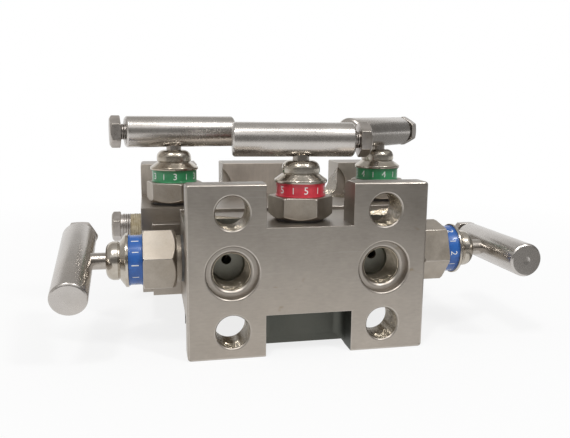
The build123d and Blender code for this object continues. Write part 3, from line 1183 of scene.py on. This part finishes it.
@dataclass
class LabelRing:
    """Coloured sleeve with plain printed numbers round it.

    Attributes:
        radius: radius of the two lips.
        wall: thickness at a lip.
        corner: how far the corners are rounded.
        groove: how deep the printed band lies under the lips.
        lip: width of a lip.
        digit_size: size of a number's letter.
        digit_steps: how finely its curves are drawn.
        print_height: half thickness of the print.
        numbers_round: numbers in a full turn.
        bar: size of a bar outwards, round and along the ring.
        segments: facets in a full turn.
    """

    radius: float = 9.1 * MM
    wall: float = 1.1 * MM
    corner: float = 0.175 * MM
    groove: float = 0.25 * MM
    lip: float = 0.45 * MM
    digit_size: float = 3.64 * MM
    digit_steps: int = 4
    print_height: float = 0.03 * MM
    numbers_round: int = 6
    bar: Point3 = (0.05 * MM, 0.28 * MM, 2.2 * MM)
    segments: int = 128

    def build(self, maker: Maker, valve: str, place: Place, duty: Duty, number: int,
              facing: float) -> None:
        """Adds the sleeve and its printing.

        Args:
            maker: adds the pieces.
            valve: the valve's name.
            place: the valve's frame.
            duty: what the valve does.
            number: the plain number printed on the ring.
            facing: angle of the first number round the axis.
        """
        low, high = place.span(f"{valve}_label_ring")
        inner, band = self.radius - self.wall, self.radius - self.groove
        section = [(inner, low), (self.radius, low), (self.radius, low + self.lip),
                   (band, low + self.lip), (band, high - self.lip),
                   (self.radius, high - self.lip), (self.radius, high), (inner, high)]
        sleeve = lathe(rounded(section, self.corner, True), True, self.segments)
        maker.add(f"{valve}_ring", sleeve, place, "block", duty.slot, (duty.value,),
                  [f"{valve}_label_ring"])
        middle = place.raised((low + high) / 2)
        bars = maker.ticks.mesh(self.numbers_round, band, self.bar,
                                maker.finishes.of(RING_PRINT))
        bars.transform(Matrix.Rotation(facing + math.pi / self.numbers_round, 4, "Z"))
        for name, mesh in (("numbers", self._numbers(number, band, facing)), ("bars", bars)):
            maker.add(f"{valve}_ring_{name}", mesh, middle, "block", duty.slot, (RING_PRINT,))

    def _numbers(self, number: int, band: float, facing: float) -> Mesh:
        """The printed numbers, bent round the ring.

        Args:
            number: the number.
            band: radius of the printed band.
            facing: angle of the first number.

        Returns:
            All the numbers as one mesh.
        """
        curve = bpy.data.curves.new("number", "FONT")
        curve.body = str(number)
        curve.align_x = curve.align_y = "CENTER"
        curve.size = self.digit_size
        curve.extrude = self.print_height
        curve.resolution_u = self.digit_steps
        flat = evaluated_mesh(put("number", curve))
        bent = []
        for turn in round_angles(self.numbers_round):
            copy = flat.copy()
            for vertex in copy.vertices:
                x, y, z = vertex.co
                vertex.co = on_ring(band + z, facing + turn + x / band, y)
            bent.append(copy)
        return joined(bent)


@dataclass
class GlandNut:
    """Domed gland nut with a coned collar.

    Attributes:
        collar_r: radius of the collar.
        collar_rim: height of its straight rim.
        collar_height: level of the shoulder over the ring.
        neck_r: radius where cone and dome meet.
        dome_r: radius of the dome.
        lip_r: radius at which the dome's curve ends.
        bore_r: radius of the bore for the stem.
        corner: how far the corners are rounded.
        arc_steps: facets over the dome's curve.
    """

    collar_r: float = 9.6 * MM
    collar_rim: float = 1.0 * MM
    collar_height: float = 3.2 * MM
    neck_r: float = 6.5 * MM
    dome_r: float = 6.9 * MM
    lip_r: float = 4.0 * MM
    bore_r: float = 3.08 * MM
    corner: float = 0.25 * MM
    arc_steps: int = 12

    def build(self, maker: Maker, valve: str, place: Place) -> None:
        """Adds the nut.

        Args:
            maker: adds the piece.
            valve: the valve's name.
            place: the valve's frame.
        """
        low = place.span(f"{valve}_label_ring")[1]
        top = place.span(f"{valve}_gland_nut")[1]
        shoulder = low + self.collar_height
        crown = self.dome_r - self.lip_r
        foot = [(self.bore_r, low), (self.collar_r, low), (self.collar_r, low + self.collar_rim),
                (self.neck_r, shoulder), (self.dome_r, shoulder + self.dome_r - self.neck_r)]
        quarter = (math.pi / 2 * k / self.arc_steps for k in range(self.arc_steps + 1))
        arc = [(self.lip_r + crown * math.cos(a), top - crown + crown * math.sin(a))
               for a in quarter]
        section = rounded(foot, self.corner, False) + arc + [(self.bore_r, top)]
        maker.add(f"{valve}_gland", lathe(section, True), place, "block", "gland_steel",
                  (GLAND_STEEL,), [f"{valve}_gland_nut"])


@dataclass
class Handle:
    """T-bar handle: stem, round bar and the bolt that clamps them.

    Attributes:
        bar_r: radius of the bar.
        bar_corner: how far the bar's corners are rounded.
        bar_segments: facets round the bar.
        chamfer: size of the chamfer at its ends.
        dimple_r: radius of the centre mark in the plain end.
        dimple_depth: its depth.
        bolt_r: radius of the bolt's shank.
        bolt_gap: how much of the shank shows.
        hole_clearance: room round the shank in the bar's end.
        hole_depth: depth of that hole.
        thread_pitch: pitch of the bolt's thread.
        thread_lift: how far its middle line lies off the shank.
        thread_ridge: half height of its ridge.
        stem_r: radius of the stem.
        stem_corner: how far the stem's corners are rounded.
        stem_segments: facets round the stem.
        edges: how the bolt's edges are broken.
    """

    bar_r: float = 6.15 * MM
    bar_corner: float = 0.22 * MM
    bar_segments: int = 128
    chamfer: float = 0.7 * MM
    dimple_r: float = 1.5 * MM
    dimple_depth: float = 0.5 * MM
    bolt_r: float = 2.55 * MM
    bolt_gap: float = 2.0 * MM
    hole_clearance: float = 0.4 * MM
    hole_depth: float = 1.5 * MM
    thread_pitch: float = 0.9 * MM
    thread_lift: float = 0.2 * MM
    thread_ridge: float = 0.42 * MM
    stem_r: float = 3.0 * MM
    stem_corner: float = 0.2 * MM
    stem_segments: int = 64
    edges: EdgeBreak = field(default_factory=lambda: EdgeBreak(0.15 * MM))

    def build(self, maker: Maker, valve: str, place: Place) -> None:
        """Adds the bar, the stem and the clamping bolt.

        Args:
            maker: adds the pieces.
            valve: the valve's name.
            place: the valve's frame, whose side direction is the bar's bolt end.
        """
        body = f"{valve}_handle"
        level = sum(place.span(f"{valve}_handle_bar")) / 2
        along_bar = Place(place.raised(level).origin, place.side, place.out)
        corners = frame["nodes"][f"{valve}_handle_bar"].data.vertices
        plain_end, bolt_end = along_bar.reach([vertex.co for vertex in corners])
        maker.add(f"{valve}_bar", self._bar(plain_end, bolt_end), along_bar, body,
                  "handle_steel", (HANDLE_STEEL,), [f"{valve}_handle_bar"])
        maker.add(f"{valve}_bolt", self.edges.mesh(f"{valve}_lock_bolt"), None, body,
                  "bolt_steel", (BOLT_STEEL, EDGE_STEEL), [f"{valve}_lock_bolt"])
        thread = maker.thread.mesh(self.bolt_r + self.thread_lift, self.thread_pitch,
                                   self.bolt_gap + self.thread_pitch, self.thread_ridge,
                                   maker.finishes.of(BOLT_STEEL))
        maker.add(f"{valve}_bolt_thread", thread,
                  along_bar.raised(bolt_end - self.thread_pitch), body, "bolt_steel",
                  (BOLT_STEEL,))
        maker.add(f"{valve}_spindle", self._stem(*place.span(f"{valve}_stem")), place, body,
                  "stem_steel", (STEM_STEEL,), [f"{valve}_stem"])
        maker.dress(f"{valve}_needle_tip", STEM_STEEL)

    def _bar(self, low: float, high: float) -> Mesh:
        """The bar with chamfered ends, a centre mark and a hole for the bolt.

        Args:
            low: level of its plain end.
            high: level of its bolt end.

        Returns:
            The bar's mesh.
        """
        rim, hole = self.bar_r - self.chamfer, self.bolt_r + self.hole_clearance
        section = [
            (0.0, low + self.dimple_depth), (self.dimple_r, low), (rim, low),
            (self.bar_r, low + self.chamfer), (self.bar_r, high - self.chamfer), (rim, high),
            (hole, high), (hole, high - self.hole_depth), (0.0, high - self.hole_depth)]
        return lathe(rounded(section, self.bar_corner, False), False, self.bar_segments)

    def _stem(self, low: float, high: float) -> Mesh:
        """The stem as a plain ground shaft between two levels."""
        section = [(0.0, low), (self.stem_r, low), (self.stem_r, high), (0.0, high)]
        return lathe(rounded(section, self.stem_corner, False), False, self.stem_segments)


@dataclass
class Valve:
    """One needle valve with its handle.

    Attributes:
        name: the valve's name, which its CAD nodes start with.
        duty: what it does.
        number: the number on its ring.
        facing_deg: angle of the first number round the axis, in degrees.
        bonnet: its bonnet.
        ring: its label ring.
        gland: its gland nut.
        handle: its handle.
    """

    name: str
    duty: Duty
    number: int
    facing_deg: float
    bonnet: Bonnet = field(default_factory=Bonnet)
    ring: LabelRing = field(default_factory=LabelRing)
    gland: GlandNut = field(default_factory=GlandNut)
    handle: Handle = field(default_factory=Handle)

    def handle_place(self) -> Place:
        """The handle's frame, read from its joint and its lock bolt.

        Returns:
            The frame, whose side direction runs to the bolt.
        """
        joint = next(j for j in frame["joints"] if j["name"] == f"{self.name}_turn")
        origin, out = Vector(joint["pos_m"]), Vector(joint["axis"]).normalized()
        low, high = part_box(f"{self.name}_lock_bolt")
        side = (low + high) / 2 - origin
        side -= out * side.dot(out)
        return Place(origin, out, side.normalized())

    def fixed_place(self, place: Place) -> Place:
        """A frame on the same axis whose side direction doesn't depend on the handle.

        Args:
            place: the handle's frame.

        Returns:
            The frame of the pieces that don't turn.
        """
        stands = abs(place.out.z) > abs(place.out.x)
        side = Vector((0, -1, 0)) if stands else Vector((0, 0, 1))
        return Place(place.origin, place.out, side)

    def build(self, maker: Maker) -> None:
        """Adds every piece of the valve.

        Args:
            maker: adds the pieces.
        """
        turning = self.handle_place()
        fixed = self.fixed_place(turning)
        self.bonnet.build(maker, self.name)
        self.ring.build(maker, self.name, fixed, self.duty, self.number,
                        math.radians(self.facing_deg))
        self.gland.build(maker, self.name, fixed)
        self.handle.build(maker, self.name, turning)


@dataclass
class TestPlug:
    """Hexagon-head pipe plug with sealing tape on its thread.

    Attributes:
        thread_r: radius of the shank under the tape.
        pitch: pitch of the thread.
        ridge: half height of its ridge.
        thread_sink: how far the ridge's middle line lies inside the shank.
        bare_share: length of the bare thread, as a share of the tape's.
        tape_bulge: how far the tape rises over its lowest winding.
        ridge_share: share of the bulge that follows the thread.
        crease_share: share of the bulge that the wrinkles take.
        crease_scale: how fast wrinkles change round the axis, and per millimetre along it.
        crease_sizes: how fine the coarse and the fine wrinkles are.
        tape_rows: facets along the tape.
        tape_facets: facets round the tape.
        tape_smooth: edges of the tape that turn more than this stay sharp.
        edges: how the plug's edges are broken.
    """

    thread_r: float = 5.1 * MM
    pitch: float = 0.94 * MM
    ridge: float = 0.45 * MM
    thread_sink: float = 0.1 * MM
    bare_share: float = 0.75
    tape_bulge: float = 0.16 * MM
    ridge_share: float = 0.75
    crease_share: float = 0.7
    crease_scale: Point2 = (1.6, 0.55)
    crease_sizes: Point2 = (1.7, 4.1)
    tape_rows: int = 48
    tape_facets: int = 96
    tape_smooth: float = math.radians(60)
    edges: EdgeBreak = field(default_factory=lambda: EdgeBreak(0.18 * MM))

    def build(self, maker: Maker) -> None:
        """Adds the plug, its thread and its tape.

        Args:
            maker: adds the pieces.
        """
        maker.add("plug", self.edges.mesh("test_port_plug"), None, "block", "bolt_steel",
                  (BOLT_STEEL, EDGE_STEEL), ["test_port_plug"])
        low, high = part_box("thread_tape")
        middle = (low + high) / 2
        place = Place(Vector((high.x, middle.y, middle.z)), Vector((-1, 0, 0)),
                      Vector((0, 0, 1)))
        length = high.x - low.x
        tape = self._tape(length, (high.z - low.z) / 2)
        maker.add("plug_tape", tape, place, "block", "thread_tape", (TAPE_CREAM,),
                  ["thread_tape"])
        bare = maker.thread.mesh(self.thread_r - self.thread_sink, self.pitch,
                                 length * self.bare_share, self.ridge,
                                 maker.finishes.of(BOLT_STEEL))
        maker.add("plug_thread", bare, place.raised(length), "block", "bolt_steel",
                  (BOLT_STEEL,))

    def _tape(self, length: float, radius: float) -> Mesh:
        """Tape that follows the thread under it, with wrinkles across the windings.

        Args:
            length: length of the taped stretch.
            radius: the tape's largest radius.

        Returns:
            The tape's mesh.
        """
        build = bmesh.new()
        angles = round_angles(self.tape_facets)
        rings = []
        for row in range(self.tape_rows + 1):
            z = length * row / self.tape_rows
            rings.append([build.verts.new(on_ring(
                min(radius, radius - self.tape_bulge + self._rise(angle, z)), angle, z))
                for angle in angles])
        for z in (length, 0.0):
            rings.append([build.verts.new(on_ring(self.thread_r, angle, z))
                          for angle in angles])
        rings.append(rings[0])
        bridge(build, rings)
        return finish_mesh(build, self.tape_smooth)

    def _rise(self, angle: float, z: float) -> float:
        """How far the tape rises over its lowest winding at a point.

        Args:
            angle: the point's angle round the axis.
            z: its level along the axis.

        Returns:
            The rise.
        """
        round_axis, along_axis = self.crease_scale
        coarse, fine = self.crease_sizes
        ridge = 0.5 + 0.5 * math.cos(2 * math.pi * z / self.pitch - angle)
        spot = Vector(on_ring(round_axis, angle, z / MM * along_axis))
        crease = noise.noise(spot * coarse) + 0.5 * noise.noise(spot * fine)
        return self.tape_bulge * (self.ridge_share * ridge + self.crease_share * crease)


# ---------------------------------------------------------------------------
# Studio
# ---------------------------------------------------------------------------


@dataclass
class Lamp:
    """A rectangular softbox aimed at a point.

    Attributes:
        name: its name.
        place: where it hangs.
        size: its width and height.
        power: its power in watts.
        aim: the point that it faces.
    """

    name: str
    place: Point3
    size: Point2
    power: float
    aim: Point3 = (0.0, 0.04, 0.0)

    def build(self) -> None:
        """Adds the lamp."""
        data = bpy.data.lights.new(self.name, "AREA")
        data.shape = "RECTANGLE"
        data.size, data.size_y = self.size
        data.energy = self.power
        lamp = put(self.name, data)
        lamp.location = self.place
        toward = Vector(self.aim) - lamp.location
        lamp.rotation_euler = toward.to_track_quat("-Z", "Y").to_euler()


def flat_stage(name: str, corners: Sequence[Sequence[float]], material: Material) -> Object:
    """Adds a four-cornered sheet that belongs to the studio.

    Args:
        name: its name.
        corners: its corners in order.
        material: its material.

    Returns:
        The sheet.
    """
    mesh = bpy.data.meshes.new(name)
    mesh.from_pydata(corners, [], [(0, 1, 2, 3)])
    mesh.materials.append(material)
    sheet = put(name, mesh)
    return sheet


@dataclass
class Card:
    """A glowing card that only polished metal shows.

    Attributes:
        name: its name.
        low: one corner.
        high: the opposite corner.
        glow: its brightness.
        tint: its colour.
    """

    name: str
    low: Point3
    high: Point3
    glow: float
    tint: Colour = (1.0, 0.98, 0.95)

    def build(self) -> None:
        """Adds the card; the axis on which low and high agree is its normal."""
        ends = (Vector(self.low), Vector(self.high))
        flat = min(range(3), key=lambda axis: abs(ends[1][axis] - ends[0][axis]))
        first, second = [axis for axis in range(3) if axis != flat]
        corners = []
        for one, two in ((0, 0), (1, 0), (1, 1), (0, 1)):
            corner = ends[0].copy()
            corner[first], corner[second] = ends[one][first], ends[two][second]
            corners.append(corner)
        material = bpy.data.materials.new(self.name)
        graph, surface = emptied(material)
        glow = graph.add("ShaderNodeEmission",
                         {"Color": (*self.tint, 1.0), "Strength": self.glow})
        graph.link(glow, surface)
        card = flat_stage(self.name, corners, material)
        for ray in ("camera", "diffuse", "shadow", "transmission"):
            setattr(card, f"visible_{ray}", False)


@dataclass
class Studio:
    """Camera, white floor, lamps, cards and world.

    Attributes:
        camera_place: where the camera stands.
        yaw: its turn to the right of +Y.
        pitch: its tilt upwards.
        roll: its turn about its own axis.
        lens_mm: focal length on the sensor's width.
        sensor_mm: the sensor's width.
        clip: nearest and farthest distance that it sees.
        floor_size: side of the floor.
        floor_drop: how far the floor lies under the part.
        floor_white: brightness of the floor's paint.
        floor_glow: how much of the floor shows as plain white, near the part and far off.
        floor_reach: distances from the part between which that grows.
        world_fill: light from the surround.
        lamps: the lamps.
        cards: the cards.
    """

    camera_place: Point3 = (-0.05424, -0.21147, 0.05596)
    yaw: float = 0.210
    pitch: float = -0.172
    roll: float = 0.010
    lens_mm: float = 40.95
    sensor_mm: float = 36.0
    clip: Point2 = (0.01, 50.0)
    floor_size: float = 40.0
    floor_drop: float = 0.02 * MM
    floor_white: float = 0.86
    floor_glow: Point2 = (0.80, 1.0)
    floor_reach: Point2 = (0.10, 0.42)
    world_fill: float = 0.5
    lamps: tuple[Lamp, ...] = (
        Lamp("left_box", (-0.33, -0.45, 0.95), (0.10, 0.26), 3.2),
        Lamp("right_box", (0.48, -0.50, 0.95), (0.10, 0.26), 3.4),
        Lamp("strip", (-0.05, -0.40, 1.05), (1.30, 0.12), 2.1),
    )
    cards: tuple[Card, ...] = (
        Card("front_card", (-1.8, -1.1, -0.03), (1.8, -1.1, 0.80), 0.20),
        Card("bench_card", (-1.8, -1.1, -0.029), (1.8, -0.42, -0.029), 0.26),
        Card("near_bench_card", (-1.8, -0.42, -0.029), (1.8, -0.27, -0.029), 0.55),
        Card("ceiling_card", (-1.8, -1.1, 1.2), (1.8, 1.6, 1.2), 0.50),
        Card("left_card", (-1.8, -1.1, -0.03), (-1.8, 1.6, 1.2), 0.52),
        Card("right_card", (1.8, -1.1, -0.03), (1.8, 1.6, 1.2), 0.20),
        Card("right_bench_card", (0.10, -0.42, -0.0302), (0.70, 0.30, -0.0302), 0.30),
    )

    def build(self) -> None:
        """Adds everything that isn't part of the object."""
        self._camera()
        self._floor()
        self._world()
        for item in (*self.lamps, *self.cards):
            item.build()
        bpy.context.scene.view_settings.view_transform = "Standard"

    def _camera(self) -> None:
        """Adds the camera."""
        data = bpy.data.cameras.new("camera")
        data.sensor_width = self.sensor_mm
        data.lens = self.lens_mm
        data.clip_start, data.clip_end = self.clip
        forward = Vector((math.sin(self.yaw) * math.cos(self.pitch),
                          math.cos(self.yaw) * math.cos(self.pitch), math.sin(self.pitch)))
        level = Vector((math.cos(self.yaw), -math.sin(self.yaw), 0.0))
        rise = level.cross(forward)
        right = level * math.cos(self.roll) + rise * math.sin(self.roll)
        up = rise * math.cos(self.roll) - level * math.sin(self.roll)
        turn = Matrix((right, up, -forward)).transposed().to_4x4()
        camera = put("camera", data)
        camera.matrix_world = Matrix.Translation(self.camera_place) @ turn
        bpy.context.scene.camera = camera

    def _floor(self) -> None:
        """Adds the floor, which shows white and keeps the part's shadow."""
        base = CAD_BOX[0].z - self.floor_drop
        half = self.floor_size / 2
        material = bpy.data.materials.new("floor_white")
        graph, surface = emptied(material)
        matt = graph.add("ShaderNodeBsdfDiffuse", {"Color": (*[self.floor_white] * 3, 1.0)})
        glow = graph.add("ShaderNodeEmission", {"Strength": 1.0})
        reach = graph.node("ShaderNodeVectorMath", operation="LENGTH")
        graph.link(graph.position(), reach.inputs[0])
        fade = graph.remap(reach.outputs["Value"], self.floor_reach, self.floor_glow)
        share = graph.math("MULTIPLY", graph.seen_directly(), fade)
        graph.link(graph.add("ShaderNodeMixShader", {0: share, 1: matt, 2: glow}), surface)
        flat_stage("floor", [(x, y, base) for x, y in (
            (-half, -half), (half, -half), (half, half), (-half, half))], material)

    def _world(self) -> None:
        """Sets a white surround that lights softly and shows white."""
        world = bpy.data.worlds.new("surround")
        bpy.context.scene.world = world
        graph, surface = emptied(world, "ShaderNodeOutputWorld")
        fill, white = (
            graph.add("ShaderNodeBackground", {"Color": (*WHITE, 1.0), "Strength": strength})
            for strength in (self.world_fill, 1.0))
        graph.link(graph.add("ShaderNodeMixShader", {0: graph.seen_directly(), 1: fill, 2: white}),
                   surface)


def main() -> None:
    """Builds the object's looks and the studio round it."""
    logging.basicConfig(level=logging.INFO, format="%(name)s %(message)s")
    maker = Maker(Finishes(), ThreadNodes(), TickNodes())
    Block().build(maker)
    valves = (
        Valve("left_isolate", Duty.ISOLATE, 1, -90),
        Valve("right_isolate", Duty.ISOLATE, 2, 90),
        Valve("left_equalize", Duty.EQUALIZE, 3, 0),
        Valve("right_equalize", Duty.EQUALIZE, 4, 0),
        Valve("vent", Duty.VENT, 5, 0),
    )
    for valve in valves:
        valve.build(maker)
    TestPlug().build(maker)
    Studio().build()
    log.info("%d pieces", maker.count)


if __name__ == "__main__":
    main()
